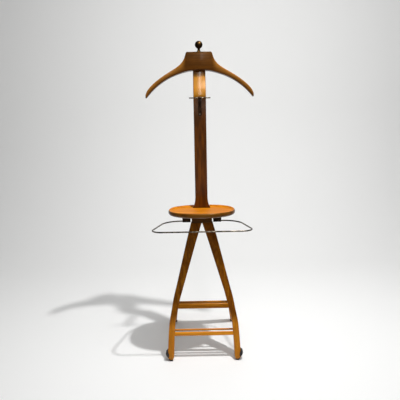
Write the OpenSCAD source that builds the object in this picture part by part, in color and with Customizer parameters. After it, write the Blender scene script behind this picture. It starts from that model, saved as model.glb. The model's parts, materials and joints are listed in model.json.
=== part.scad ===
// Valet stand: a clothes stand with a carved coat hanger on a bent post, a tie
// rail, a dished tray, a folding wire trouser bar, two shoe bars on splayed
// front legs, and a rear leg frame that folds forward about a pin under the tray.
// Millimetres, +Z up. The origin is on the floor, under the middle of the stand.

/* [Tray] */
// Width of the oval tray
tray_w = 282; // [240:1:340]
// Depth of the oval tray
tray_d = 236; // [220:1:280]
// Overall thickness of the tray
tray_t = 25; // [20:1:32]
// Depth of the dished recess
tray_recess = 9; // [4:1:12]
// Width of the raised rim
tray_rim = 9; // [6:1:14]
// Height of the rim above the floor
tray_z = 642; // [560:1:740]

/* [Post and hanger] */
// Height of the post above the tray rim
post_h = 651; // [540:1:780]
// Width of the post
post_w = 52; // [42:1:64]
// Thickness of the post, front to back
post_t = 26; // [22:1:34]
// Width of the flared foot of the post
post_foot_w = 78; // [66:1:94]
// Span of the coat hanger
hanger_span = 450; // [400:1:520]
// Thickness of the hanger at its middle, front to back
hanger_t = 42; // [34:1:52]
// Diameter of the ball knob
ball_d = 32; // [24:1:40]

/* [Tie rail] */
// Length of the cross rod
tie_rod_l = 86; // [60:1:160]
// Diameter of the cross rod
tie_rod_d = 5; // [4:0.5:8]
// Reach of the arm in front of the post
tie_reach = 73; // [60:1:120]
// Height of the cross rod below the bend of the post
tie_drop = 8; // [0:1:30]

/* [Legs] */
// Width of the legs under the tray
leg_top_w = 46; // [36:1:52]
// Width of the legs at the foot
leg_foot_w = 26; // [18:1:34]
// Depth of the front legs, front to back
leg_d = 38; // [32:1:46]
// Distance between the middles of the front feet
feet_w = 286; // [240:1:340]
// Distance between the middles of the rear feet
rear_feet_w = 300; // [270:1:360]
// Diameter of the pin that the rear legs fold on
pin_d = 8; // [6:0.5:10]

/* [Shoe bars] */
// Height of the upper shoe bar
upper_bar_z = 222; // [190:1:270]
// Height of the lower shoe bar
lower_bar_z = 108; // [80:1:150]
// Face height of the upper shoe bar
upper_bar_h = 20; // [14:1:26]
// Face height of the lower shoe bar
lower_bar_h = 16; // [12:1:22]
// Thickness of the shoe bars
bar_t = 11; // [8:1:13]
// Diameter of the round rods behind the bars
rod_d = 8; // [6:0.5:10]

/* [Trouser bar] */
// Diameter of the trouser bar wire
wire_d = 6; // [5:0.5:8]
// Width of the trouser bar
loop_w = 412; // [380:1:450]
// Distance from the trouser bar's pivot to its front run
loop_l = 222; // [200:1:240]
// Width of each trouser bar bracket
bracket_w = 36; // [24:1:38]

/* [Fits] */
// Radial running clearance of the pin and the wire in their bores
run_fit = 0.06; // [0.02:0.01:0.1]
// Side gap between parts that turn and parts that stand still
side_gap = 0.6; // [0.4:0.1:1.5]

/* [Hidden] */
$fn = 48;

tray_y = -99;                              // middle of the tray
tray_under = tray_z - tray_t;              // underside of the tray
tray_floor = tray_z - tray_recess;
tray_edge_h = 16;                          // height of the tray's upright edge
tray_under_w = 184;                        // width of its flat underside
tray_under_d = 168;

post_base_y = -9;                          // middle of the post on the tray
post_top = tray_z + post_h;
post_seat = tray_floor;                    // the post stands on the tray's floor

yoke_w = 88;
yoke_d = 50;
yoke_h = 42;
yoke_y = -47;
yoke_screw_x = yoke_w / 2 - 8;
yoke_under = tray_under - yoke_h;

foot_y = -177;                             // middle of the front feet
lean = atan((yoke_y - foot_y) / yoke_under);
wood_screw_d = 4;
sole_t = 4;                                // rubber under the feet

hinge_y = 3;
barrel_r = 15;
hinge_z = tray_under - barrel_r - 6;
barrel_w = 80;
rear_foot_y = 217;
rear_lean = atan((rear_foot_y - hinge_y) / hinge_z);
rear_leg_d = 34;
rear_glide_d = 30;
rear_slim = 0.85;                          // width of the rear legs against the front
rear_rail_z = 110;
rear_rail_h = 18;
ear_t = 8;
ear_x = barrel_w / 2 + side_gap;           // inner face of each hinge ear

pivot_y = -7;                              // the trouser bar's pivot
pivot_z = tray_under - 45;
bracket_x = 50.5;                          // inner face of each bracket
bracket_wall = 2.6;                        // metal left around the wire
bracket_reach = 24;                        // reach of the bracket in front of the pivot
bracket_h = 32;
bracket_side = 5;                          // wall left between the wire's end and the leg
wire_front_r = 40;                         // radius of the front corners
wire_back_r = 85;                          // radius of the back corners
wire_flare = 14;                           // angle that the sides spread towards the front
bend_draw = 0.02;                          // how much thinner the wire is in its bends
run_lap = 0.3;                             // length of a straight run past its bend's start

// Catmull-Rom curve through a list of points, with n steps for each span
function blend(a, b, c, d, t) = 0.5 * (2 * b + (c - a) * t
    + (2 * a - 5 * b + 4 * c - d) * t * t + (3 * b - a - 3 * c + d) * t * t * t);
function curve(p, n = 5) = concat([for (i = [0:len(p) - 2]) for (k = [0:n - 1])
    blend(p[max(i - 1, 0)], p[i], p[i + 1], p[min(i + 2, len(p) - 1)], k / n)],
    [p[len(p) - 1]]);
function flip(p) = [for (i = [len(p) - 1:-1:0]) [-p[i][0], p[i][1]]];
function oval(w, d, n = 72) = [for (i = [0:n - 1]) let (a = 360 * i / n,
    e = 2 / 2.3, c = cos(a), s = sin(a))
    [w / 2 * sign(c) * pow(abs(c), e), d / 2 * sign(s) * pow(abs(s), e)]];

// Middle line of a leg: [height, sideways place] up the leg, from the foot
leg_rise = yoke_under;
function leg_place(share, inward) = [share * leg_rise, feet_w / 2 - inward];
front_line = [leg_place(0, 0), leg_place(0.087, 1.5), leg_place(0.174, 4),
    leg_place(0.265, 8), leg_place(0.32, 12.5), leg_place(0.37, 19), leg_place(0.447, 28.7),
    leg_place(0.534, 43), leg_place(0.70, 69.5), leg_place(0.866, 96),
    [leg_rise, leg_top_w / 2 + 1]];
rear_line = [[0, rear_feet_w / 2], [0.1 * hinge_z, rear_feet_w / 2 - 8],
    [0.2 * hinge_z, rear_feet_w / 2 - 18], [0.34 * hinge_z, rear_feet_w / 2 - 38],
    [0.5 * hinge_z, 97], [0.67 * hinge_z, 69], [0.84 * hinge_z, 41], [hinge_z, 16]];
foot_round = 22;                           // height over which a foot is rounded
function leg_half(z) = lookup(z, [[0, leg_foot_w], [0.27 * leg_rise, leg_foot_w],
    [0.33 * leg_rise, leg_foot_w - 2], [0.40 * leg_rise, leg_foot_w + 1],
    [0.52 * leg_rise, leg_foot_w + 4], [0.70 * leg_rise, leg_foot_w + 10],
    [leg_rise, leg_top_w]]) / 2 * (z < foot_round ? 0.4 + 0.6 * sqrt(z / foot_round) : 1);
function leg_side(line, way, lean_by, slim) = [for (p = curve(line, 5))
    [p[1] + way * slim * leg_half(p[0]), p[0] / cos(lean_by)]];

// A flat leg cut from a board that leans back by an angle
module leg_board(line, depth, lean_by, slim = 1) {
    inner = leg_side(line, -1, lean_by, slim);
    outer = leg_side(line, 1, lean_by, slim);
    back = [for (i = [len(inner) - 1:-1:0]) inner[i]];
    rotate([90 - lean_by, 0, 0])
        linear_extrude(height = depth, center = true) polygon(concat(outer, back));
}

module round_x(d, l, center = true) {
    rotate([0, 90, 0]) cylinder(d = d, h = l, center = center);
}

module at_front(z) {
    translate([0, foot_y + z * tan(lean), z]) rotate([-lean, 0, 0]) children();
}

module both_sides() {
    children();
    mirror([1, 0, 0]) children();
}

// Ball knob
ball_z = post_top + 14 + ball_d / 2;
collar_t = 5;
module ball_knob() {
    color([0.22, 0.15, 0.08]) difference() {
        union() {
            translate([0, hanger_y, ball_z]) sphere(d = ball_d);
            translate([0, hanger_y, post_top + collar_t])
                cylinder(d = 12, h = ball_z - post_top - collar_t);
        }
        translate([0, hanger_y, post_top]) cylinder(d = stud_d, h = stud_up);
    }
}

module knob_collar() {
    color([0.62, 0.52, 0.35]) translate([0, hanger_y, post_top]) difference() {
        cylinder(d = 20, h = collar_t);
        translate([0, 0, -1]) cylinder(d = stud_d, h = collar_t + 2);
    }
}

stud_d = 6;
stud_up = 24;
stud_down = 36;
module knob_stud() {
    color([0.6, 0.6, 0.6]) translate([0, hanger_y, post_top - stud_down])
        cylinder(d = stud_d, h = stud_down + stud_up);
}

// Coat hanger: its front outline, cut by its outline from above
hanger_y = -43;                            // middle of the hanger
hanger_tip_y = -75;
hanger_h = 74;                             // height of its middle
hanger_top_w = 106;
half_span = hanger_span / 2;
tip_z = post_top - 180;
function drop(share, down) = [share * half_span, post_top - down];
hanger_top_line = curve([[hanger_top_w / 2, post_top], drop(0.27, 25), drop(0.35, 50),
    drop(0.53, 76.5), drop(0.64, 92), drop(0.75, 109), drop(0.85, 127), drop(0.93, 145.5),
    [half_span, tip_z]], 6);
hanger_low_line = curve([[half_span - 5, tip_z - 6], drop(0.89, 161), drop(0.72, 127),
    drop(0.60, 109), drop(0.48, 95.5), drop(0.37, 86.5), drop(0.27, 79.5),
    [post_w / 2 + 3, post_top - hanger_h]], 6);
module hanger_front() {
    polygon(concat([[0, post_top]], hanger_top_line, hanger_low_line,
        [[0, post_top - hanger_h]]));
}
module hanger_plan() {
    bow = [[0, 0], [60, 0], [half_span * 0.6, -9], [half_span + 2, hanger_tip_y - hanger_y]];
    line = curve(bow, 6);
    function half(x) = hanger_t / 2 - (hanger_t / 2 - 9) * pow(x / half_span, 1.3);
    front = [for (p = line) [p[0], hanger_y + p[1] - half(p[0])]];
    rear = [for (i = [len(line) - 1:-1:0]) [line[i][0], hanger_y + line[i][1] + half(line[i][0])]];
    polygon(concat(front, rear));
}
module coat_hanger() {
    color([0.55, 0.29, 0.08]) difference() {
        both_sides() intersection() {
            rotate([90, 0, 0]) linear_extrude(height = 300, center = true) hanger_front();
            translate([0, 0, post_top - 300]) linear_extrude(height = 400) hanger_plan();
        }
        post_body();
        knob_stud();
        hanger_dowels();
    }
}

// Two dowels that pin the hanger to the head of the post
dowel_d = 10;
module hanger_dowels() {
    color([0.75, 0.6, 0.4]) for (x = [-13, 13])
        translate([x, hanger_y - 12, post_top - 50]) rotate([-90, 0, 0])
            cylinder(d = dowel_d, h = post_t + 4);
}

// Post: its bent side outline, cut by its front outline
bend_y = -69;                              // foremost point of the post's bend
bend_share = 0.73;                         // its height, as a share of the post's
head_y = hanger_y + 9;                     // middle of the post inside the hanger
post_line = curve([[post_base_y, 0], [post_base_y - 5, 0.18 * post_h],
    [post_base_y - 17, 0.42 * post_h], [post_base_y - 35, 0.62 * post_h],
    [bend_y + 5, 0.69 * post_h], [bend_y, bend_share * post_h], [bend_y + 7, 0.77 * post_h],
    [bend_y + 25, 0.83 * post_h], [head_y, 0.89 * post_h], [head_y, post_h - 8]], 6);
module post_side() {
    front = [for (p = post_line) [p[0] - post_t / 2, p[1]]];
    rear = [for (i = [len(post_line) - 1:-1:0])
        [post_line[i][0] + post_t / 2, post_line[i][1]]];
    polygon(concat(front, rear));
}
module post_front() {
    flare = curve([[post_foot_w / 2, 0], [post_foot_w / 2 - 3, 7], [post_w / 2 + 4, 20],
        [post_w / 2 + 1, 45]], 6);
    side = concat(flare, [[post_w / 2, post_h * 0.5], [post_w / 2 - 1, post_h]]);
    polygon(concat(side, flip(side)));
}
module post_body() {
    translate([0, 0, post_seat]) intersection() {
        rotate([90, 0, 90]) linear_extrude(height = 120, center = true) post_side();
        rotate([90, 0, 0]) linear_extrude(height = 300, center = true) post_front();
    }
}
module post() {
    color([0.4, 0.2, 0.05]) difference() {
        post_body();
        knob_stud();
        hanger_dowels();
        post_screws();
        tie_arm_screws();
    }
}

// Two long screws through the tray, up into the foot of the post
screw_head_d = 10;
module post_screws() {
    color([0.7, 0.6, 0.3]) for (x = [-22, 22]) translate([x, post_base_y, 0]) {
        translate([0, 0, tray_under]) cylinder(d = screw_head_d, h = 4);
        translate([0, 0, tray_under]) cylinder(d = wood_screw_d + 1, h = 60);
    }
}

// Tie rail: a flat arm screwed to the front of the post, with a cross rod at its end
tie_z = post_seat + bend_share * post_h - tie_drop;
tie_y = bend_y - post_t / 2 - tie_reach;
arm_w = 14;
arm_t = 3;
arm_foot_h = 44;
arm_foot_z = tie_z - 66;
function post_front_y(z) = lookup(z - post_seat, [for (p = post_line) [p[1], p[0]]]) - post_t / 2;
arm_low = [post_front_y(arm_foot_z), arm_foot_z];
arm_high = [post_front_y(arm_foot_z + arm_foot_h), arm_foot_z + arm_foot_h];
arm_slope = atan((arm_low[0] - arm_high[0]) / arm_foot_h);
module tie_arm() {
    hub = tie_rod_d / 2 + 3;
    arm_gap = 0.2;
    color([0.2, 0.19, 0.18]) difference() {
        union() {
            rotate([90, 0, 90]) linear_extrude(height = arm_w, center = true)
                polygon([arm_low - [arm_gap, 0], arm_high - [arm_gap, 0],
                    [tie_y + hub - 3, tie_z + 1.5],
                    [tie_y + hub - 3, tie_z - 1.5], arm_high - [arm_t + 1.5, 6],
                    arm_low - [arm_t, 0]]);
            translate([0, tie_y, tie_z]) round_x(2 * hub, arm_w);
        }
        tie_rod();
        tie_arm_screws();
        post_body();
    }
}
module tie_rod() {
    color([0.75, 0.73, 0.7]) translate([0, tie_y, tie_z]) round_x(tie_rod_d, tie_rod_l);
}
module tie_arm_screws() {
    color([0.75, 0.73, 0.7]) for (up = [8, 28])
        translate([0, post_front_y(arm_foot_z + up) - arm_t, arm_foot_z + up])
            rotate([-90 + arm_slope, 0, 0]) {
                translate([0, 0, -2]) cylinder(d = 8, h = 3);
                cylinder(d = wood_screw_d, h = 18);
            }
}

// Tray
module tray() {
    color([0.8, 0.48, 0.1]) difference() {
        translate([0, tray_y, 0]) difference() {
            union() {
                translate([0, 0, tray_z - tray_edge_h])
                    linear_extrude(height = tray_edge_h) polygon(oval(tray_w, tray_d));
                hull() {
                    translate([0, 0, tray_z - tray_edge_h]) linear_extrude(height = 1)
                        polygon(oval(tray_w - 2, tray_d - 2));
                    translate([0, 0, tray_under]) linear_extrude(height = 1)
                        polygon(oval(tray_under_w, tray_under_d));
                }
            }
            translate([0, 0, tray_floor]) linear_extrude(height = tray_t)
                polygon(oval(tray_w - 2 * tray_rim, tray_d - 2 * tray_rim));
        }
        post_screws();
        yoke_screws();
        bracket_screws();
        hinge_ear_screws();
    }
}

// Block under the tray that carries the front legs
module front_yoke() {
    color([0.42, 0.16, 0.06]) difference() {
        translate([-yoke_w / 2, yoke_y - yoke_d / 2, yoke_under])
            cube([yoke_w, yoke_d, yoke_h]);
        yoke_screws();
        leg_dowels();
    }
}
module yoke_screws() {
    color([0.7, 0.6, 0.3]) for (x = [-yoke_screw_x, yoke_screw_x])
        translate([x, yoke_y, yoke_under]) {
            cylinder(d = screw_head_d, h = 4);
            cylinder(d = wood_screw_d, h = yoke_h + tray_t - tray_recess - 4);
        }
}
dowel_x = leg_top_w / 2 - 1;
module leg_dowels() {
    color([0.75, 0.6, 0.4]) for (x = [-dowel_x, dowel_x])
        translate([x, yoke_y, yoke_under - 22]) cylinder(d = dowel_d, h = 44);
}

// Front legs
module front_leg() {
    difference() {
        leg_at_front();
        translate([-500, -500, yoke_under]) cube([1000, 1000, 100]);
        translate([-500, -500, -50]) cube([500, 1000, 900]);
        translate([-500, -500, -60]) cube([1000, 1000, 60 + sole_t]);
        front_glide_right();
        leg_dowels();
        upper_shoe_bar();
        upper_shoe_rod();
        lower_shoe_bar();
        lower_shoe_rod();
    }
}
module leg_at_front() {
    past_top = [yoke_under + 30, leg_top_w / 2 - 8];
    translate([0, foot_y, 0]) leg_board(concat(front_line, [past_top]), leg_d, lean);
}
module front_leg_right() {
    color([0.5, 0.26, 0.07]) front_leg();
}
module front_leg_left() {
    color([0.5, 0.26, 0.07]) mirror([1, 0, 0]) front_leg();
}

// Shoe bars: a flat bar near the front of the legs and a round rod behind it
bar_y = -leg_d / 2 + bar_t / 2 + 2;
rod_y = leg_d / 2 - rod_d / 2 - 4;
function leg_x(z) = lookup(z, front_line);
module shoe_bar(z, h) {
    at_front(z) translate([0, bar_y, 0]) cube([2 * leg_x(z), bar_t, h], center = true);
}
module shoe_rod(z) {
    at_front(z) translate([0, rod_y, 0]) round_x(rod_d, 2 * leg_x(z));
}
module upper_shoe_bar() {
    color([0.55, 0.32, 0.1]) shoe_bar(upper_bar_z, upper_bar_h);
}
module upper_shoe_rod() {
    color([0.55, 0.32, 0.1]) shoe_rod(upper_bar_z + upper_bar_h / 2 + rod_d / 2);
}
module lower_shoe_bar() {
    color([0.72, 0.42, 0.12]) shoe_bar(lower_bar_z, lower_bar_h);
}
module lower_shoe_rod() {
    color([0.72, 0.42, 0.12]) shoe_rod(lower_bar_z + lower_bar_h / 2 + rod_d / 2);
}

// Rubber glides under the front feet, each with a heel that stands out to the side
glide_d = 30;
module front_glide_right() {
    x = feet_w / 2;
    color([0.04, 0.04, 0.04]) translate([0, foot_y, 0]) rotate([90, 0, 0])
        linear_extrude(height = glide_d, center = true)
            polygon([[x - 8, 0], [x + 4, 0], [x + 20, 27], [x + 22, 36], [x + 13, 45],
                [x + 8, 32], [x + 5, 14], [x + 1, sole_t], [x - 8, sole_t]]);
}
module front_glide_left() {
    mirror([1, 0, 0]) front_glide_right();
}

// Fixed half of the rear hinge: two ears under the tray, and the pin
module hinge_ears() {
    color([0.42, 0.16, 0.06]) difference() {
        both_sides() translate([ear_x, hinge_y, 0]) {
            translate([0, -barrel_r, hinge_z])
                cube([ear_t, 2 * barrel_r, tray_under - hinge_z]);
            translate([0, 0, hinge_z]) rotate([0, 90, 0]) cylinder(r = barrel_r, h = ear_t);
        }
        hinge_pin();
        hinge_ear_screws();
    }
}
module hinge_ear_screws() {
    color([0.7, 0.6, 0.3]) both_sides()
        translate([ear_x + ear_t / 2, hinge_y + 9, hinge_z + 4])
            cylinder(d = wood_screw_d, h = tray_under - hinge_z + 8);
}
module hinge_pin() {
    color([0.75, 0.73, 0.7]) translate([0, hinge_y, hinge_z])
        round_x(pin_d, 2 * (ear_x + ear_t));
}

// Moving half of the rear hinge and the rear legs
module rear_barrel() {
    color([0.42, 0.16, 0.06]) translate([0, hinge_y, hinge_z]) difference() {
        round_x(2 * barrel_r, barrel_w);
        round_x(pin_d + 2 * run_fit, barrel_w + 2);
    }
}
module rear_leg() {
    difference() {
        translate([0, rear_foot_y, 0]) leg_board(rear_line, rear_leg_d, -rear_lean, rear_slim);
        translate([-500, -500, -50]) cube([500, 1000, 900]);
        translate([-500, -500, -60]) cube([1000, 1000, 60 + sole_t]);
        translate([0, hinge_y, hinge_z]) round_x(2 * barrel_r, 300);
        rear_rail();
    }
}
module rear_leg_right() {
    color([0.45, 0.23, 0.06]) rear_leg();
}
module rear_leg_left() {
    color([0.45, 0.23, 0.06]) mirror([1, 0, 0]) rear_leg();
}
module rear_rail() {
    reach = lookup(rear_rail_z, rear_line);
    color([0.45, 0.23, 0.06])
        translate([0, rear_foot_y - rear_rail_z * tan(rear_lean), rear_rail_z])
            rotate([rear_lean, 0, 0]) cube([2 * reach, 12, rear_rail_h], center = true);
}
module rear_glides() {
    color([0.04, 0.04, 0.04]) both_sides()
        translate([rear_feet_w / 2, rear_foot_y, 0]) cylinder(d = rear_glide_d, h = sole_t);
}

// Trouser bar: a wire bow whose ends turn in the brackets. Its sides spread towards the
// front between a wide corner at the back and a tight one at the front. The wire draws in
// slightly where it is bent.
module wire_arc(centre, r, from, to) {
    translate([centre[0], centre[1], 0]) rotate([0, 0, from])
        rotate_extrude(angle = to - from) translate([r, 0]) circle(d = wire_d - bend_draw);
}
module trouser_bar() {
    front_y = pivot_y - loop_l;
    front_c = [loop_w / 2 - wire_d / 2 - wire_front_r, front_y + wire_front_r];
    outward = [cos(wire_flare), sin(wire_flare)];
    side_low = front_c + wire_front_r * outward;
    back_y = pivot_y - wire_back_r;
    side_l = (back_y + wire_back_r * sin(wire_flare) - side_low[1]) / cos(wire_flare);
    side_high_x = side_low[0] - side_l * sin(wire_flare);
    back_c = [side_high_x - wire_back_r * outward[0], back_y];
    end_x = bracket_x + bracket_side + 1;
    color([0.75, 0.73, 0.7]) translate([0, 0, pivot_z]) {
        translate([0, front_y, 0]) round_x(wire_d, 2 * (front_c[0] + run_lap));
        both_sides() {
            wire_arc(front_c, wire_front_r, -90, wire_flare);
            translate([side_low[0], side_low[1], 0]) rotate([-90, 0, wire_flare])
                translate([0, 0, -run_lap]) cylinder(d = wire_d, h = side_l + 2 * run_lap);
            wire_arc(back_c, wire_back_r, wire_flare, 90);
            translate([end_x, pivot_y, 0]) rotate([0, 90, 0])
                cylinder(d = wire_d, h = back_c[0] - end_x + run_lap);
        }
    }
}
module bracket_right() {
    lug_d = wire_d + 2 * bracket_wall;
    color([0.12, 0.07, 0.04]) difference() {
        translate([bracket_x, pivot_y, 0]) {
            translate([0, -bracket_reach, tray_under - bracket_h])
                cube([bracket_w, bracket_reach + lug_d / 2, bracket_h]);
            translate([0, -lug_d / 2, pivot_z])
                cube([bracket_w, lug_d, tray_under - pivot_z]);
            translate([0, 0, pivot_z]) rotate([0, 90, 0]) cylinder(d = lug_d, h = bracket_w);
        }
        translate([bracket_x + bracket_side, pivot_y, pivot_z])
            rotate([0, 90, 0]) cylinder(d = wire_d + 2 * run_fit, h = bracket_w);
        bracket_screws();
    }
}
module bracket_left() {
    mirror([1, 0, 0]) bracket_right();
}
module bracket_screws() {
    color([0.7, 0.6, 0.3]) both_sides()
        translate([bracket_x + bracket_w / 2, pivot_y - 12, tray_under - bracket_h])
            cylinder(d = wood_screw_d, h = bracket_h + 10);
}

ball_knob();
knob_collar();
knob_stud();
coat_hanger();
hanger_dowels();
post();
post_screws();
tie_arm();
tie_rod();
tie_arm_screws();
tray();
front_yoke();
yoke_screws();
leg_dowels();
front_leg_left();
front_leg_right();
upper_shoe_bar();
upper_shoe_rod();
lower_shoe_bar();
lower_shoe_rod();
front_glide_left();
front_glide_right();
hinge_ears();
hinge_ear_screws();
hinge_pin();
rear_barrel();
rear_leg_left();
rear_leg_right();
rear_rail();
rear_glides();
trouser_bar();
bracket_left();
bracket_right();
bracket_screws();
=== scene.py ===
import json
import math

import bpy
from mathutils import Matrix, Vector

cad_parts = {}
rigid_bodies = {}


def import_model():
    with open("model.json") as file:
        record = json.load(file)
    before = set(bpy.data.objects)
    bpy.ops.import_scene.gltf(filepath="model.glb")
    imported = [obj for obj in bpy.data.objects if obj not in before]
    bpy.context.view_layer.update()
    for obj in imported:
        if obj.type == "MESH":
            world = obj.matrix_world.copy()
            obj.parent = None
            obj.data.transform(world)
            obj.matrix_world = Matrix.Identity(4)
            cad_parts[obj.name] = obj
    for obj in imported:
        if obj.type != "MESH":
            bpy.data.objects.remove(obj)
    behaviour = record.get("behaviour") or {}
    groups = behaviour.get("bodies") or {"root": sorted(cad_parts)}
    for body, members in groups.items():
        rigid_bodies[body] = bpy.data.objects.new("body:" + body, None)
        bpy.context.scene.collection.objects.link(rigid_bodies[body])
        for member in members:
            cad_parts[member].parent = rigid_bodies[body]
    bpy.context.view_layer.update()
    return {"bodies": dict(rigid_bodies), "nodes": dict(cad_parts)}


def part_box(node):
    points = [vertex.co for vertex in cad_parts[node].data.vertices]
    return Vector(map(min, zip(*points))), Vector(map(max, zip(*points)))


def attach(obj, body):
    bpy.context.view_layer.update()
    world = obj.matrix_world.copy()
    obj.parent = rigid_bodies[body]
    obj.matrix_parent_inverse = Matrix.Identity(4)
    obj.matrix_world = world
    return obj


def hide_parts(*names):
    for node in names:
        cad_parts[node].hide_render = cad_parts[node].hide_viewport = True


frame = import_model()
bpy.ops.object.select_all(action="DESELECT")


# Tray: an oval dish carved from pale beech, stained orange and lacquered. It is screwed
# to the block below and to the post that stands on its floor. Its rim is a rounded bead,
# its floor meets the rim in a soft cove, and its underside is turned in.
MM = 0.001


# An sRGB hex colour as the linear values that a shader takes
def linear(hex_code):
    parts = [int(hex_code[i:i + 2], 16) / 255 for i in (0, 2, 4)]
    return [c / 12.92 if c <= 0.04045 else ((c + 0.055) / 1.055) ** 2.4 for c in parts] + [1.0]


# Adds a node with its settings and the links into it
def add_node(material, kind, links=None, **settings):
    node = material.node_tree.nodes.new(kind)
    for name, value in settings.items():
        if name in node.bl_rna.properties:
            setattr(node, name, value)
        else:
            node.inputs[name.replace("_", " ")].default_value = value
    for name, source in (links or {}).items():
        material.node_tree.links.new(source, node.inputs[name])
    return node


# Sets the places and colours of a colour ramp
def ramp_stops(ramp, stops):
    while len(ramp.color_ramp.elements) < len(stops):
        ramp.color_ramp.elements.new(0.5)
    for element, (place, colour) in zip(ramp.color_ramp.elements, stops):
        element.position = place
        element.color = colour


def new_material(name):
    material = bpy.data.materials.new(name)
    material.use_nodes = True
    return material, material.node_tree.nodes["Principled BSDF"]


GRAIN_MM = 5.0           # width of a growth ring where the board shows it
PORE_MM = 0.9            # width of a pore streak, drawn coarse enough to show
STREAKS_PER_CELL = 2.2   # streaks that one cell of the noise shows
GRAIN_STRETCH = 0.055    # the grain's width as a share of its length
PORE_DEPTH_MM = 0.4      # deeper than a real pore, so that it shows
PORE_BROWN, DRIFT_BROWN = "7A4A10", "C88C34"
LOW_LIGHT_STARTS = 0.195      # height, in metres, under which the legs are painted paler, as if lit
LOW_LIGHT_FULL = 0.145
LOW_LIGHT_TAN, MOST_LOW_LIGHT = "8C5A18", 0.9


# Painted light: the legs are coloured paler low down, standing in for light below the tray's shadow
def painted_low_light(material, place):
    height = add_node(material, "ShaderNodeSeparateXYZ", {"Vector": place})
    return add_node(material, "ShaderNodeMapRange", {"Value": height.outputs["Z"]},
                    **{"From_Min": LOW_LIGHT_STARTS, "From_Max": LOW_LIGHT_FULL,
                       "To_Min": 0.0, "To_Max": MOST_LOW_LIGHT}).outputs[0]


# Blends a tint into a colour, as strongly as the share that is linked in says
def tinted(material, share, colour, blend, tint):
    mix = add_node(material, "ShaderNodeMix", data_type="RGBA", blend_type=blend)
    material.node_tree.links.new(share, mix.inputs[0])
    material.node_tree.links.new(colour, mix.inputs[6])
    mix.inputs[7].default_value = linear(tint)
    return mix.outputs[2]


# Lacquered hardwood: growth rings stretched along the board, short dark pores, a slow
# drift of the stain, painted light where a mesh attribute marks it and low down below a
# height, and as much clear coat as the piece has, for a sharper highlight over the satin one.
def lacquered_wood(name, dark, mid, light, along, roughness, coat, drift=0.5,
                   painted_light_to="9C5C0C"):
    material, shader = new_material(name)
    links = material.node_tree.links
    place = add_node(material, "ShaderNodeTexCoord").outputs["Object"]
    turn = {"X": (0, math.pi / 2, 0), "Z": (0, 0, 0)}[along]
    turned = add_node(material, "ShaderNodeMapping", {"Vector": place}, Rotation=turn)
    board = add_node(material, "ShaderNodeMapping", {"Vector": turned.outputs[0]},
                     Scale=(1, 1, GRAIN_STRETCH)).outputs[0]
    rings = add_node(material, "ShaderNodeTexNoise", {"Vector": board},
                     Scale=1 / (GRAIN_MM * MM) / STREAKS_PER_CELL, Detail=5.0, Roughness=0.55,
                     Distortion=0.35)
    pores = add_node(material, "ShaderNodeTexNoise", {"Vector": board},
                     Scale=1 / (PORE_MM * MM) / STREAKS_PER_CELL, Detail=2.0, Roughness=0.5)
    cloud = add_node(material, "ShaderNodeTexNoise", {"Vector": board},
                     Scale=9.0, Detail=2.0)      # drifts over about 110 mm
    tone = add_node(material, "ShaderNodeValToRGB", {"Fac": rings.outputs["Fac"]})
    ramp_stops(tone, [(0.30, linear(dark)), (0.52, linear(mid)), (0.72, linear(light))])
    streak = add_node(material, "ShaderNodeMapRange", {"Value": pores.outputs["Fac"]},
                      **{"From_Min": 0.58, "From_Max": 0.70, "To_Min": 0.0, "To_Max": 0.55})
    slow = add_node(material, "ShaderNodeMapRange", {"Value": cloud.outputs["Fac"]},
                    **{"From_Min": 0.35, "From_Max": 0.7, "To_Min": 0.0, "To_Max": drift})
    painted_lit = add_node(material, "ShaderNodeAttribute", attribute_name="painted_light").outputs["Fac"]
    colour = tone.outputs["Color"]
    colour = tinted(material, streak.outputs[0], colour, "MULTIPLY", PORE_BROWN)
    colour = tinted(material, slow.outputs[0], colour, "MULTIPLY", DRIFT_BROWN)
    # Painted light: paler where the mesh attribute marks it, standing in for light on the piece
    colour = tinted(material, painted_lit, colour, "ADD", painted_light_to)
    # Painted light: paler below a height, standing in for the lower legs lit below the tray's
    # shadow
    colour = tinted(material, painted_low_light(material, place), colour, "ADD", LOW_LIGHT_TAN)
    links.new(colour, shader.inputs["Base Color"])
    gloss = add_node(material, "ShaderNodeMapRange", {"Value": rings.outputs["Fac"]},
                     **{"To_Min": roughness + 0.08, "To_Max": roughness - 0.06})
    links.new(gloss.outputs[0], shader.inputs["Roughness"])
    relief = add_node(material, "ShaderNodeBump", {"Height": pores.outputs["Fac"]},
                      Strength=0.12, Distance=PORE_DEPTH_MM * MM)
    links.new(relief.outputs[0], shader.inputs["Normal"])
    shader.inputs["IOR"].default_value = 1.45
    shader.inputs["Specular Tint"].default_value = linear("F0B468")
    shader.inputs["Coat Weight"].default_value = coat
    shader.inputs["Coat Roughness"].default_value = 0.16
    return material


# Leaves a piece with one material
def coat_with(piece, material):
    piece.data.materials.clear()
    piece.data.materials.append(material)


# Gives a new piece its material and its body, and hides the node it stands for
def dress(piece, material, body, node):
    coat_with(piece, material)
    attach(piece, body)
    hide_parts(node)


# Selects one piece and nothing else
def only(piece):
    bpy.ops.object.select_all(action="DESELECT")
    piece.select_set(True)
    bpy.context.view_layer.objects.active = piece


# Puts a made piece's place into its mesh and shades it by the angle between its faces
def settle(piece, name, angle=35):
    only(piece)
    piece.name = name
    piece.data.name = name
    bpy.ops.object.transform_apply(location=True, rotation=True, scale=True)
    bpy.ops.object.shade_smooth_by_angle(angle=math.radians(angle))
    return piece


# Adds a modifier with its settings and applies it
def apply_modifier(piece, kind, **settings):
    only(piece)
    modifier = piece.modifiers.new(kind.title(), kind)
    for name, value in settings.items():
        setattr(modifier, name, value)
    bpy.ops.object.modifier_apply(modifier=modifier.name)


tray_low, tray_high = (Vector(c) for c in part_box("tray"))
tray_mid = (tray_low + tray_high) / 2
tray_size = tray_high - tray_low
tray_centre = (tray_mid.x, tray_mid.y, tray_low.z)
tray_corner = 2.3        # 2 is an ellipse; more is squarer

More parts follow.
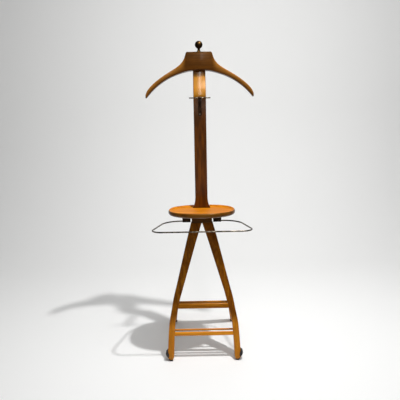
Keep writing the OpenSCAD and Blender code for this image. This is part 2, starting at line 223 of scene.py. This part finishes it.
bpy.ops.mesh.primitive_circle_add(vertices=128, radius=1, fill_type="NGON",
                                  location=tray_centre)
tray = bpy.context.object
for vertex in tray.data.vertices:
    angle = math.atan2(vertex.co.y, vertex.co.x)
    stretch = (abs(math.cos(angle)) ** tray_corner + abs(math.sin(angle)) ** tray_corner)
    vertex.co *= stretch ** (-1 / tray_corner)
# Mm out from the middle along the width, and mm up from the underside: first the underside,
# then round the edge, over the rim and in across the floor
tray_profile = [(92, 0), (106, 0.8), (122, 3), (133, 5.6), (138.2, 8.4), (140.4, 11.5),
                (141, 15.5), (140.9, 20), (139.8, 23.2), (137.6, 24.8), (135.4, 25),
                (133.4, 23.8), (131.9, 21.2), (129.4, 18.2), (124.5, 16.5), (114, 16), (60, 16)]
tray_depth_less = (tray_size.x - tray_size.y) / 2
half_x, half_y = tray_profile[0][0] * MM, tray_profile[0][0] * MM - tray_depth_less
bpy.ops.object.mode_set(mode="EDIT")
bpy.ops.mesh.select_all(action="SELECT")
bpy.ops.transform.resize(value=(half_x, half_y, 1), center_override=tray_centre)
for (out_a, up_a), (out_b, up_b) in zip(tray_profile, tray_profile[1:]):
    grow_x = out_b / out_a
    grow_y = (out_b * MM - tray_depth_less) / (out_a * MM - tray_depth_less)
    bpy.ops.mesh.extrude_region_move(TRANSFORM_OT_translate={"value": (0, 0, (up_b - up_a) * MM)})
    bpy.ops.transform.resize(value=(grow_x, grow_y, 1), center_override=tray_centre)
bpy.ops.mesh.poke()
bpy.ops.mesh.select_all(action="SELECT")
bpy.ops.mesh.normals_make_consistent(inside=False)
bpy.ops.object.mode_set(mode="OBJECT")
# Beech under an orange stain and a thin satin lacquer: warm, pale and softly lit
tray_wood = lacquered_wood("beech_stained_orange_lacquered", "A45C00", "C67C02", "DC980C", "X",
                           roughness=0.6, coat=0.02)
# Painted shade: the same beech coloured browner where it faces away from the light, on its
# outer wall and underside: a dark band round the pale floor
tray_shaded_side_wood = lacquered_wood("beech_painted_shade_brown_lacquered", "3E2202", "5C3804",
                                "7A500A", "X", roughness=0.36, coat=0.15, drift=0.3)
settle(tray, "tray_turned", 50)
dress(tray, tray_wood, "root", "tray")
tray.data.materials.append(tray_shaded_side_wood)
# Painted shade: faces below the rim's crown that turn outward or down take the darker copy
rim_top = tray_high.z - 0.9 * MM
facing_down = -0.5
for face in tray.data.polygons:
    outward = Vector((face.center.x - tray_mid.x, face.center.y - tray_mid.y, 0))
    if face.center.z < rim_top and (face.normal.dot(outward) > 0 or face.normal.z < facing_down):
        face.material_index = 1


# Post: one plank of walnut-stained beech, steam bent near its head and flared at its
# foot, where two screws from below hold it to the tray. Its long edges are eased by hand.
post_low = Vector(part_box("post")[0])
hanger_low, hanger_high = (Vector(c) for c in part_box("coat_hanger"))
post_top = hanger_high.z
post_full = post_top - post_low.z
post_w = 52 * MM
post_t = 26 * MM
post_foot_w = 78 * MM


# A smooth curve through the given points, with a number of steps between each two
def smooth_through(points, steps):
    out = []
    for i in range(len(points) - 1):
        a, b = points[max(i - 1, 0)], points[i]
        c, d = points[i + 1], points[min(i + 2, len(points) - 1)]
        for k in range(steps):
            t = k / steps
            out.append(tuple(0.5 * (2 * q + (r - p) * t + (2 * p - 5 * q + 4 * r - s) * t * t
                                    + (3 * q - p - 3 * r + s) * t * t * t)
                             for p, q, r, s in zip(a, b, c, d)))
    out.append(tuple(points[-1]))
    return out


# The value of a table of (place, value) pairs at a place between them
def between(table, x):
    for (xa, ya), (xb, yb) in zip(table, table[1:]):
        if x <= xb:
            return ya + (yb - ya) * max(0.0, (x - xa) / (xb - xa))
    return table[-1][1]


# A board grown from a square face by extruding it from cut to cut. A cut is its middle and
# its two half sizes: width and depth, or height and depth when the board grows sideways.
def board(cuts, sideways=False):
    middle, half = cuts[0]
    bpy.ops.object.select_all(action="DESELECT")
    bpy.ops.mesh.primitive_plane_add(size=2, location=middle)
    piece = bpy.context.object
    bpy.ops.object.mode_set(mode="EDIT")
    bpy.ops.mesh.select_all(action="SELECT")
    bpy.ops.transform.resize(value=(half[0], half[1], 1), center_override=middle)
    if sideways:
        bpy.ops.transform.rotate(value=-math.pi / 2, orient_axis="Y", center_override=middle)
    for (mid_a, half_a), (mid_b, half_b) in zip(cuts, cuts[1:]):
        step = Vector(mid_b) - Vector(mid_a)
        grow_w, grow_d = half_b[0] / half_a[0], half_b[1] / half_a[1]
        bpy.ops.mesh.extrude_region_move(TRANSFORM_OT_translate={"value": step})
        bpy.ops.transform.resize(value=(1, grow_d, grow_w) if sideways else (grow_w, grow_d, 1),
                                 center_override=mid_b)
    bpy.ops.mesh.select_all(action="SELECT")
    bpy.ops.mesh.normals_make_consistent(inside=False)
    bpy.ops.object.mode_set(mode="OBJECT")
    return piece


# Rounds the edges that are sharper than an angle
def ease_edges(piece, width, segments=4, angle=40):
    apply_modifier(piece, "BEVEL", width=width, segments=segments, limit_method="ANGLE",
                   angle_limit=math.radians(angle), use_clamp_overlap=True)


# Keeps a share between none and all
def clamp(share):
    return min(1.0, max(0.0, share))


# Marks each corner of a mesh with a share of painted light: how much paler its colour is
# made, standing in for light falling there. The wood materials read the mark as an attribute.
def mark_painted_light(piece, share_at):
    marks = piece.data.attributes.new("painted_light", "FLOAT", "POINT")
    for vertex in piece.data.vertices:
        marks.data[vertex.index].value = share_at(vertex)


# The post's side line as (share of its height, mm front to back), and then its half width
bend_y, head_y, base_y = -69, -34, -9
post_side = smooth_through([(0, base_y), (0.18, base_y - 5), (0.42, base_y - 17),
                            (0.62, base_y - 35), (0.69, bend_y + 5), (0.73, bend_y),
                            (0.77, bend_y + 7), (0.83, bend_y + 25), (0.89, head_y),
                            (1 - 8 * MM / post_full, head_y)], 6)
post_half_w = [(0, post_foot_w / 2), (0.011, post_foot_w / 2 - 3 * MM),
               (0.02, post_foot_w / 2 - 6.5 * MM), (0.032, post_w / 2 + 4 * MM),
               (0.05, post_w / 2 + 2.2 * MM), (0.075, post_w / 2 + 1 * MM), (1, post_w / 2)]
flare_shares = [0.006, 0.011, 0.02, 0.026, 0.04, 0.05, 0.06]
post_cuts = []
for share in sorted([share for share, _ in post_side] + flare_shares):
    place = (0, between(post_side, share) * MM, post_low.z + share * post_full)
    post_cuts.append((place, (between(post_half_w, share), post_t / 2)))
post = board(post_cuts)
ease_edges(post, 4 * MM)
# Beech stained dark as walnut under a bright lacquer, so the bend catches a hard light
post_wood = lacquered_wood("beech_stained_walnut_lacquered", "361802", "502802", "6A3A04", "Z",
                           roughness=0.34, coat=0.5, painted_light_to="785210")
settle(post, "post_bent")
# Painted light: the bend is coloured golden where it faces the light, except on faces turned back
golden_from, golden_to, golden_fade = 80, 194, 16     # mm below the top of the post
facing_back = 0.5


def painted_bend_light(vertex):
    below = (post_top - vertex.co.z) / MM
    share = min(below - golden_from, golden_to - below) / golden_fade
    return clamp(share) if vertex.normal.y < facing_back else 0.0


mark_painted_light(post, painted_bend_light)
dress(post, post_wood, "root", "post")


# Coat hanger: carved from one thick board, its shoulders swept down and forward and
# thinned to blunt tips. It is housed over the head of the post, and dowelled to it.
hanger_y = -43
hanger_half_t, tip_half_t = 21, 9
thinning = 1.3           # above 1 keeps the shoulders thick and thins the tips
half_span = (hanger_high.x - hanger_low.x) / 2 / MM
# Upper outline and under outline as (mm from the middle, mm below the post's top), then the
# sweep as (mm from the middle, mm front to back, where minus is forward)
hanger_top = smooth_through([(0, 0), (40, 0), (50, 0), (53, 1.5), (56, 10), (61, 25), (68, 37),
                             (79, 50), (98, 64), (119, 76.5), (144, 92), (169, 109),
                             (191, 127), (209, 145.5), (219, 160), (225, 176)], 3)
hanger_under = smooth_through([(0, 74), (29, 74), (45, 76), (61, 79.5), (84, 86.5), (108, 95.5),
                               (135, 109), (162, 127), (182, 143), (200, 161), (212, 175),
                               (220, 185), (225, 185.8)], 3)
hanger_bow = [(0, 0), (60, 0), (100, -3), (135, -9), (180, -18), (227, -32)]
# Where the board is cut across, closer together where it curves more
hanger_places = [0.01, 25, 40, 48, 52, 54.5, 57, 60, 64, 68, 73, 79, 88, 98, 108, 119, 131, 144,
                 156, 169, 180, 190, 199, 206, 212, 217, 221, 224]
hanger_cuts = []
for x in hanger_places:
    top, under = between(hanger_top, x), between(hanger_under, x)
    half_t = hanger_half_t - (hanger_half_t - tip_half_t) * (x / half_span) ** thinning
    place = (x * MM, (hanger_y + between(hanger_bow, x)) * MM, post_top - (top + under) / 2 * MM)
    hanger_cuts.append((place, ((under - top) / 2 * MM, half_t * MM)))
hanger = board(hanger_cuts, sideways=True)
apply_modifier(hanger, "MIRROR", use_axis=(True, False, False), use_clip=True,
               merge_threshold=0.5 * MM, mirror_object=frame["bodies"]["root"])
ease_edges(hanger, 8 * MM, 6)
# Beech stained brown under a thin lacquer: dark on the shoulders, with little shine
hanger_wood = lacquered_wood("beech_stained_brown_lacquered", "2A1200", "3E2002", "502E06", "X",
                             roughness=0.36, coat=0.12, painted_light_to="7A501C")
settle(hanger, "coat_hanger_carved", 50)
arm_light_from, arm_light_full = 52, 72     # painted paler towards the arms' upper edge, as if lit
arm_light_falloff = 1.4


# Painted light: paler up the arms towards their upper edge, standing in for light on their tops
def painted_arm_light(vertex):
    reach = abs(vertex.co.x) / MM
    top, under = between(hanger_top, reach), between(hanger_under, reach)
    rise = clamp((under - (post_top - vertex.co.z) / MM) / (under - top))
    return rise ** arm_light_falloff * clamp((reach - arm_light_from) / (arm_light_full - arm_light_from))


mark_painted_light(hanger, painted_arm_light)
dress(hanger, hanger_wood, "root", "coat_hanger")


# Knob and collar: a turned bronze ball on a short neck, darkened with age, and a brass
# washer under it. A steel stud runs from the ball down through the hanger into the post.

# Grows a turned piece from a disk, by extruding and scaling it up a profile of radius and
# height in mm
def turned(name, centre, profile, sides=48, lying=False):
    bpy.ops.object.select_all(action="DESELECT")
    first_r, first_up = profile[0]
    bpy.ops.mesh.primitive_circle_add(vertices=sides, radius=first_r * MM, fill_type="NGON",
                                      location=(0, 0, first_up * MM))
    piece = bpy.context.object
    bpy.ops.object.transform_apply(location=True, rotation=True, scale=True)
    bpy.ops.object.mode_set(mode="EDIT")
    bpy.ops.mesh.select_all(action="SELECT")
    for (r_a, up_a), (r_b, up_b) in zip(profile, profile[1:]):
        step = (0, 0, (up_b - up_a) * MM)
        bpy.ops.mesh.extrude_region_move(TRANSFORM_OT_translate={"value": step})
        bpy.ops.transform.resize(value=(r_b / r_a, r_b / r_a, 1),
                                 center_override=(0, 0, up_b * MM))
    bpy.ops.mesh.select_all(action="SELECT")
    bpy.ops.mesh.normals_make_consistent(inside=False)
    bpy.ops.object.mode_set(mode="OBJECT")
    if lying:
        piece.rotation_euler = (0, math.pi / 2, 0)
    piece.location = centre
    return settle(piece, name)


SCRATCH_MM = 0.8         # width of a scratch, drawn coarse enough to show


# Metal with a hand-worn surface: fine scratches vary the gloss, and dirt darkens it in
# slow patches. patina is how much of the surface the dark colour takes.
def worn_metal(name, clean, dark, roughness, patina, metallic=1.0):
    material, shader = new_material(name)
    place = add_node(material, "ShaderNodeTexCoord").outputs["Object"]
    patches = add_node(material, "ShaderNodeTexNoise", {"Vector": place},
                       Scale=60.0, Detail=6.0, Roughness=0.6)      # patches about 17 mm across
    scratches = add_node(material, "ShaderNodeTexNoise", {"Vector": place},
                         Scale=1 / (SCRATCH_MM * MM), Detail=3.0)
    tone = add_node(material, "ShaderNodeValToRGB", {"Fac": patches.outputs["Fac"]})
    ramp_stops(tone, [(patina - 0.12, linear(dark)), (patina + 0.14, linear(clean))])
    gloss = add_node(material, "ShaderNodeMapRange", {"Value": scratches.outputs["Fac"]},
                     **{"To_Min": roughness - 0.08, "To_Max": roughness + 0.12})
    relief = add_node(material, "ShaderNodeBump", {"Height": scratches.outputs["Fac"]},
                      Strength=0.08, Distance=0.0002)
    links = material.node_tree.links
    links.new(tone.outputs["Color"], shader.inputs["Base Color"])
    links.new(gloss.outputs[0], shader.inputs["Roughness"])
    links.new(relief.outputs[0], shader.inputs["Normal"])
    shader.inputs["Metallic"].default_value = metallic
    return material


knob_low, knob_high = (Vector(c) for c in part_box("ball_knob"))
knob_mid = (knob_low + knob_high) / 2
ball_r = (knob_high.x - knob_low.x) / 2 / MM
knob_tall = (knob_high.z - knob_low.z) / MM
ball_up = knob_tall - ball_r
ball_foot = ball_up - ball_r
neck = [(7.4, 0), (7.4, 1.2), (5.6, 2.6), (5.4, ball_foot - 1.5), (6.2, ball_foot + 0.6)]
ball_start, ball_turn, ball_steps = 24, 152, 26      # degrees from the ball's foot
ball_angles = [math.radians(ball_start + ball_turn * i / ball_steps) for i in range(ball_steps)]
ball = [(ball_r * math.sin(a), ball_up - ball_r * math.cos(a)) for a in ball_angles]
ball_tip_r = 0.3
knob = turned("ball_knob_turned", (knob_mid.x, knob_mid.y, knob_low.z),
              neck + ball + [(ball_tip_r, knob_tall)])
# Bronze left to darken: brown-black, with a dull gold where it is handled
bronze = worn_metal("bronze_aged_dark", "5E4420", "22160A", 0.44, 0.54)
dress(knob, bronze, "root", "ball_knob")

collar_low, collar_high = (Vector(c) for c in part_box("knob_collar"))
collar_r = (collar_high.x - collar_low.x) / 2 / MM
collar_up = (collar_high.z - collar_low.z) / MM
collar_mid = (collar_low + collar_high) / 2
collar = turned("knob_collar_turned", (collar_mid.x, collar_mid.y, collar_low.z),
                [(collar_r - 1, 0), (collar_r, 0.6), (collar_r, 1.8), (collar_r - 1.4, 3),
                 (collar_r - 3, 3.6), (collar_r - 3.2, collar_up - 0.2), (collar_r - 4, collar_up)])
# Polished brass gone a little brown
brass = worn_metal("brass_polished_worn", "B08A48", "6A4A20", 0.28, 0.36)
dress(collar, brass, "root", "knob_collar")

# Bright zinc over steel: grey and half dull
steel = worn_metal("steel_zinc_plated", "A8A8A4", "70706C", 0.36, 0.36)
coat_with(frame["nodes"]["knob_stud"], steel)


# Tie rail: a flat steel arm, blackened, held to the front of the post by two screws, with
# a nickel-plated rod through its rolled end. Ties and belts hang over the rod.
loose_gap = 0.00002      # metres; corners closer than this are one


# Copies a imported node, joins its loose triangles and rounds its edges
def eased_copy(node, name, width, segments=3):
    source = frame["nodes"][node]
    piece = bpy.data.objects.new(name, source.data.copy())
    bpy.context.collection.objects.link(piece)
    only(piece)
    bpy.ops.object.mode_set(mode="EDIT")
    bpy.ops.mesh.select_all(action="SELECT")
    bpy.ops.mesh.remove_doubles(threshold=loose_gap)
    bpy.ops.mesh.dissolve_limited(angle_limit=math.radians(1))
    bpy.ops.object.mode_set(mode="OBJECT")
    ease_edges(piece, width, segments, angle=35)
    return settle(piece, name)


# Steel blackened in oil: near black, brown where it is rubbed, half dull
blackened = worn_metal("steel_blackened", "3A2616", "160E08", 0.42, 0.5, metallic=0.9)
# Nickel plating worn and spotted brown: bright and dark in turns along the wire
nickel = worn_metal("nickel_plated_wire", "8A8070", "2E261E", 0.22, 0.52)
tie_arm = eased_copy("tie_arm", "tie_arm_bent", 0.5 * MM, 2)
dress(tie_arm, blackened, "root", "tie_arm")

rod_low, rod_high = (Vector(c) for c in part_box("tie_rod"))
rod_half = (rod_high.x - rod_low.x) / 2 / MM
rod_r = (rod_high.z - rod_low.z) / 2 / MM
rod_mid = (rod_low + rod_high) / 2
rod_angles = [math.radians(degrees) for degrees in (12, 35, 55, 75, 90)]
rod_end = [(rod_r * math.sin(a), -rod_half + rod_r - rod_r * math.cos(a)) for a in rod_angles]
other_end = [(radius, -up) for radius, up in reversed(rod_end)]
tie_rod = turned("tie_rod_plated", rod_mid, rod_end + other_end, 24, lying=True)
dress(tie_rod, nickel, "root", "tie_rod")

# The two screw heads stand proud of the arm and are domed
tie_screws = eased_copy("tie_arm_screws", "tie_arm_screws_domed", 0.8 * MM)
dress(tie_screws, nickel, "root", "tie_arm_screws")


# Leg block: a reddish beech block screwed up into the tray. The front legs are dowelled
# to its underside.

# Beech stained red-brown and barely lacquered, so it stays dark under the tray
block_wood = lacquered_wood("beech_stained_red_lacquered", "2A1404", "402004", "562E08", "X",
                            roughness=0.5, coat=0.05)
leg_block = eased_copy("front_yoke", "leg_block", 2.5 * MM, 4)
dress(leg_block, block_wood, "root", "front_yoke")


# Front legs: two sawn beech boards that splay from the block, turn at a knee and run down
# almost upright to rounded toes. They lean back, and their long edges are rounded.
leg_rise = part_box("front_yoke")[0][2] / MM
feet_half = 143
leg_foot_w, leg_top_w, leg_d = 26, 46, 38
front_foot_y, yoke_y = -177, -47
front_lean = math.atan((yoke_y - front_foot_y) / leg_rise)
sole, toe_top, toe_arc = 4, 22, 20       # the toe is rounded from its sole up to its top
toe_depth = 0.4                          # share of the depth that the toe's arc leaves
last_gap = 2                             # cuts nearer to the top than this are left out


# Turns shares of a rise into heights
def share_line(pairs, rise):
    return [(share * rise, place) for share, place in pairs]


front_line = share_line([(0, feet_half), (0.087, feet_half - 1.5), (0.174, feet_half - 4),
                         (0.265, feet_half - 8), (0.32, feet_half - 12.5),
                         (0.37, feet_half - 19), (0.447, feet_half - 28.7),
                         (0.534, feet_half - 43), (0.70, feet_half - 69.5),
                         (0.866, feet_half - 96), (1, leg_top_w / 2 + 1)], leg_rise)
leg_width = share_line([(0, leg_foot_w), (0.27, leg_foot_w), (0.33, leg_foot_w - 2),
                        (0.40, leg_foot_w + 1), (0.52, leg_foot_w + 4),
                        (0.70, leg_foot_w + 10), (1, leg_top_w)], leg_rise)


# One leg: side is -1 or 1, line its middle seen from the front, slim a share of its width
def leg_board(side, line, slim, foot_y, lean, depth, z_top):
    curve = smooth_through(line, 5)
    toe = [(z, between(curve, z)) for z in (sole, 6, 8.5, 11.5, 15, 19)]
    shank = [point for point in curve if toe_top < point[0] < z_top - last_gap]
    cuts = []
    for z, x in toe + shank + [(z_top, between(curve, z_top))]:
        half = between(leg_width, z) / 2 * slim
        deep = depth / 2 / math.cos(lean)
        if z < toe_top:
            ease = math.sqrt(1 - ((toe_top - z) / toe_arc) ** 2)
            half, deep = half * ease, deep * (toe_depth + (1 - toe_depth) * ease)
        middle = (side * x * MM, (foot_y + z * math.tan(lean)) * MM, z * MM)
        cuts.append((middle, (half * MM, deep * MM)))
    leg = board(cuts)
    ease_edges(leg, 4.5 * MM)
    return leg


# Beech stained chestnut under thin lacquer, satin and golden where light falls; painted paler low
# down
leg_wood = lacquered_wood("beech_stained_chestnut_lacquered", "4E2802", "744202", "94600A", "Z",
                          roughness=0.34, coat=0.12)
for side, word in ((-1, "left"), (1, "right")):
    leg = leg_board(side, front_line, 1, front_foot_y, front_lean, leg_d, leg_rise)
    settle(leg, "front_leg_" + word + "_sawn", 50)
    dress(leg, leg_wood, "root", "front_leg_" + word)


# Shoe bars: at each level a flat beech bar and a thin round rod behind it, glued into the
# inner faces of the front legs. The heels of the shoes hook between the two.

# Beech stained paler than the legs and kept shiny by the shoes
bar_wood = lacquered_wood("beech_bar_stained_lacquered", "6A3C04", "965C08", "B67C14", "X",
                          roughness=0.32, coat=0.2)
most_top_light = 0.6


# A rule for marking painted light: a face is coloured paler as it turns from start to full upwards
def painted_top_light(start, full):
    def share_at(vertex):
        return most_top_light * clamp((vertex.normal.z - start) / (full - start))
    return share_at


# Painted light: the upward faces of the bars and rods are coloured paler, as if lit from above
for node in ("upper_shoe_bar", "lower_shoe_bar"):
    bar = eased_copy(node, node + "_planed", 3 * MM, 4)
    mark_painted_light(bar, painted_top_light(0.3, 0.9))
    dress(bar, bar_wood, "root", node)
for node in ("upper_shoe_rod", "lower_shoe_rod"):
    low, high = (Vector(c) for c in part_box(node))
    half, radius = (high.x - low.x) / 2 / MM, (high.z - low.z) / 2 / MM
    rod = turned(node + "_turned", (low + high) / 2,
                 [(radius, -half), (radius, -half / 2), (radius, 0), (radius, half / 2),
                  (radius, half)], 32, lying=True)
    mark_painted_light(rod, painted_top_light(0.0, 0.8))
    dress(rod, bar_wood, "root", node)


# Glides: black rubber shoes nailed under the feet. The front ones turn up at their outer
# side into a heel that keeps the leg's edge off the floor.

# Black rubber straight from the mould: dull, gritty and scuffed grey
def moulded_rubber(name):
    material, shader = new_material(name)
    place = add_node(material, "ShaderNodeTexCoord").outputs["Object"]
    scuffs = add_node(material, "ShaderNodeTexNoise", {"Vector": place},
                      Scale=180.0, Detail=6.0)       # scuffs about 6 mm across
    tone = add_node(material, "ShaderNodeValToRGB", {"Fac": scuffs.outputs["Fac"]})
    ramp_stops(tone, [(0.42, linear("100E0D")), (0.7, linear("2A2725"))])
    grit = add_node(material, "ShaderNodeTexNoise", {"Vector": place},
                    Scale=1600.0, Detail=2.0)        # a mould's grit, about 0.6 mm
    relief = add_node(material, "ShaderNodeBump", {"Height": grit.outputs["Fac"]}, Strength=0.2,
                      Distance=0.0003)
    links = material.node_tree.links
    links.new(tone.outputs["Color"], shader.inputs["Base Color"])
    links.new(relief.outputs[0], shader.inputs["Normal"])
    shader.inputs["Roughness"].default_value = 0.62
    return material


rubber = moulded_rubber("rubber_black_moulded")
for word in ("left", "right"):
    glide = eased_copy("front_glide_" + word, "front_glide_" + word + "_moulded", 1.6 * MM)
    dress(glide, rubber, "root", "front_glide_" + word)
rear_low, rear_high = (Vector(c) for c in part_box("rear_glides"))
rear_glide = eased_copy("rear_glides", "rear_glides_moulded", 1.2 * MM)
dress(rear_glide, rubber, "rear_frame", "rear_glides")


# Rear leg frame: two slimmer legs glued to a turned barrel, with one rail between them.
# The barrel turns on a steel pin held in two ears under the tray, so the frame folds
# forward against the front legs.
ears = eased_copy("hinge_ears", "hinge_ears_shaped", 1.2 * MM)
dress(ears, block_wood, "root", "hinge_ears")
coat_with(frame["nodes"]["hinge_pin"], steel)
barrel = eased_copy("rear_barrel", "rear_barrel_turned", 1.2 * MM)
dress(barrel, block_wood, "rear_frame", "rear_barrel")

hinge_low, hinge_high = (Vector(c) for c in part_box("rear_barrel"))
hinge_z = (hinge_low.z + hinge_high.z) / 2 / MM
hinge_y = (hinge_low.y + hinge_high.y) / 2 / MM
glide_half, under_pin = 15, 9
rear_half = (rear_high.x - rear_low.x) / 2 / MM - glide_half
rear_foot_y = (rear_low.y + rear_high.y) / 2 / MM
rear_lean = math.atan((rear_foot_y - hinge_y) / hinge_z)
rear_line = share_line([(0, rear_half), (0.1, rear_half - 8), (0.2, rear_half - 18),
                        (0.34, rear_half - 38), (0.5, 97), (0.67, 69), (0.84, 41), (1, 16)],
                       hinge_z)
rear_slim, rear_leg_d = 0.85, 34
for side, word in ((-1, "left"), (1, "right")):
    leg = leg_board(side, rear_line, rear_slim, rear_foot_y, -rear_lean, rear_leg_d,
                    hinge_z - under_pin)
    settle(leg, "rear_leg_" + word + "_sawn", 50)
    dress(leg, leg_wood, "rear_frame", "rear_leg_" + word)
rail = eased_copy("rear_rail", "rear_rail_planed", 3 * MM, 4)
dress(rail, bar_wood, "rear_frame", "rear_rail")


# Trouser bar: one length of nickel-plated steel wire bent into a wide bow. Its two ends
# turn inward into blackened steel brackets, screwed up into the tray, and pivot there.
wire_low, wire_high = (Vector(c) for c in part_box("trouser_bar"))
wire_r = (wire_high.z - wire_low.z) / 2
pivot_y, pivot_z = -7 * MM, (wire_low.z + wire_high.z) / 2
wire_front = wire_low.y + wire_r
front_bend, back_bend = 40 * MM, 85 * MM
flare = math.radians(14)
wire_end = 60 * MM
bpy.ops.object.select_all(action="DESELECT")
bpy.ops.mesh.primitive_circle_add(vertices=16, radius=wire_r, fill_type="NGON",
                                  location=(-wire_end, pivot_y, pivot_z),
                                  rotation=(0, math.pi / 2, 0))
wire = bpy.context.object
bpy.ops.object.transform_apply(location=True, rotation=True, scale=True)
bpy.ops.object.mode_set(mode="EDIT")
bpy.ops.mesh.select_all(action="SELECT")


# The wire grows from its left end, by straight runs and bends, to its right end
def run_straight(step):
    bpy.ops.mesh.extrude_region_move(TRANSFORM_OT_translate={"value": step})


def bend_round(centre, angle, steps):
    bpy.ops.mesh.spin(steps=steps, angle=angle, center=(centre[0], centre[1], pivot_z),
                      axis=(0, 0, 1), dupli=False)


front_x, front_y = wire_high.x - wire_r - front_bend, wire_front + front_bend
side_low = (front_x + front_bend * math.cos(flare), front_y + front_bend * math.sin(flare))
back_y = pivot_y - back_bend
side_run = back_y + back_bend * math.sin(flare) - side_low[1]
back_x = side_low[0] - side_run * math.tan(flare) - back_bend * math.cos(flare)
wide_turn, tight_turn = math.pi / 2 - flare, math.pi / 2 + flare
back_steps, front_steps = 22, 18
run_straight((wire_end - back_x, 0, 0))
bend_round((-back_x, back_y), -wide_turn, back_steps)
run_straight((-side_run * math.tan(flare), -side_run, 0))
bend_round((-front_x, front_y), -tight_turn, front_steps)
run_straight((2 * front_x, 0, 0))
bend_round((front_x, front_y), -tight_turn, front_steps)
run_straight((-side_run * math.tan(flare), side_run, 0))
bend_round((back_x, back_y), -wide_turn, back_steps)
run_straight((wire_end - back_x, 0, 0))
bpy.ops.mesh.select_all(action="SELECT")
bpy.ops.mesh.remove_doubles(threshold=loose_gap)
bpy.ops.mesh.normals_make_consistent(inside=False)
bpy.ops.object.mode_set(mode="OBJECT")
settle(wire, "trouser_bar_bent")
dress(wire, nickel, "trouser_loop", "trouser_bar")

for word in ("left", "right"):
    bracket = eased_copy("bracket_" + word, "bracket_" + word + "_pressed", 1.5 * MM)
    dress(bracket, blackened, "root", "bracket_" + word)


# Fasteners that stay out of sight inside the wood: brass wood screws under the tray, and
# plain beech dowels glued across the joints of the legs and the hanger.

# Bare beech, pale and dull
dowel_wood = lacquered_wood("beech_dowel_plain", "B08A5A", "C8A272", "D8B888", "Z",
                            roughness=0.7, coat=0.0)
for node in ("post_screws", "yoke_screws", "hinge_ear_screws", "bracket_screws"):
    coat_with(frame["nodes"][node], brass)
for node in ("hanger_dowels", "leg_dowels"):
    coat_with(frame["nodes"][node], dowel_wood)


# Plain studio around the stand: a pale floor that sweeps up into a pale wall, a small
# strong light high above and to the right, a strip that shines on the bend of the post,
# and weak light from the front and above. None of it is part of the object.
sweep_start, sweep_radius, sweep_side, wall_top = 1.1, 1.2, 7.0, 7.0
floor_front = -5.0
bpy.ops.object.select_all(action="DESELECT")
bpy.ops.mesh.primitive_plane_add(size=2, location=(0, 0, 0))
floor = bpy.context.object
bpy.ops.object.mode_set(mode="EDIT")
bpy.ops.transform.resize(value=(sweep_side, 1, 1))
bpy.ops.mesh.select_all(action="DESELECT")
bpy.ops.object.mode_set(mode="OBJECT")
for vertex in floor.data.vertices:
    vertex.co.y = sweep_start if vertex.co.y > 0 else floor_front
for edge in floor.data.edges:
    edge.select = all(floor.data.vertices[i].co.y > 0 for i in edge.vertices)
bpy.ops.object.mode_set(mode="EDIT")
bpy.ops.mesh.spin(steps=24, angle=-math.pi / 2, center=(0, sweep_start, sweep_radius),
                  axis=(1, 0, 0), dupli=False)
bpy.ops.mesh.extrude_region_move(TRANSFORM_OT_translate={"value": (0, 0, wall_top)})
bpy.ops.object.mode_set(mode="OBJECT")
settle(floor, "floor_and_wall", 60)
# Matt white paper on a roll
backdrop, paint = new_material("studio_paper")
paint.inputs["Base Color"].default_value = linear("F2F2F1")
paint.inputs["Roughness"].default_value = 0.95
paint.inputs["Specular IOR Level"].default_value = 0.1
floor.data.materials.append(backdrop)

world = bpy.context.scene.world or bpy.data.worlds.new("studio")
bpy.context.scene.world = world
world.use_nodes = True
nodes, links = world.node_tree.nodes, world.node_tree.links
all_round = nodes["Background"]
all_round.inputs["Color"].default_value = linear("F4F5F6")
all_round.inputs["Strength"].default_value = 0.10
pale_beyond = nodes.new("ShaderNodeBackground")      # what the camera sees past the paper
pale_beyond.inputs["Color"].default_value = linear("D8D9DA")
seen = nodes.new("ShaderNodeLightPath")
choose = nodes.new("ShaderNodeMixShader")
links.new(seen.outputs["Is Camera Ray"], choose.inputs["Fac"])
links.new(all_round.outputs[0], choose.inputs[1])
links.new(pale_beyond.outputs[0], choose.inputs[2])
links.new(choose.outputs[0], nodes["World Output"].inputs[0])


# A lamp with a soft face of a size in metres, turned towards a point
def soft_light(name, place, aim, size, watts, shape="DISK"):
    data = bpy.data.lights.new(name, "AREA")
    data.shape = shape
    data.size = size
    data.energy = watts
    lamp = bpy.data.objects.new(name, data)
    bpy.context.collection.objects.link(lamp)
    lamp.location = place
    lamp.rotation_euler = (Vector(aim) - lamp.location).to_track_quat("-Z", "Y").to_euler()
    return lamp


# Each light's name, place, aim, size and watts
soft_light("key", (0.43, -0.53, 2.32), (0, -0.05, 0.6), 0.07, 35)
strip = soft_light("strip", (0.03, -1.0, 1.95), (0, -0.05, 1.15), 0.10, 5, "RECTANGLE")
strip.data.size_y = 1.2
front = soft_light("front", (-0.2, -2.5, 0.7), (0, 0, 0.4), 1.2, 9)
front.visible_glossy = False
soft_light("overhead", (-0.6, 0.3, 4.6), (0, 0.2, 0), 3.0, 17)
wall = soft_light("wall", (1.0, -0.6, 3.9), (0.3, 2.9, 0.8), 3.0, 30)
wall.data.spread = math.radians(110)
bpy.context.scene.view_settings.view_transform = "Standard"

# A camera at chest height, tipped slightly down
camera_data = bpy.data.cameras.new("camera")
camera_data.lens = 40.5
camera_data.sensor_width = 36
camera = bpy.data.objects.new("camera", camera_data)
bpy.context.collection.objects.link(camera)
camera_pitch = math.radians(8.84)
camera_roll = math.radians(-1.08)
camera.location = (-0.0065, -1.985, 0.974)
camera.rotation_euler = (math.pi / 2 - camera_pitch, 0, 0)
camera.rotation_euler.rotate_axis("Z", camera_roll)
bpy.context.scene.camera = camera
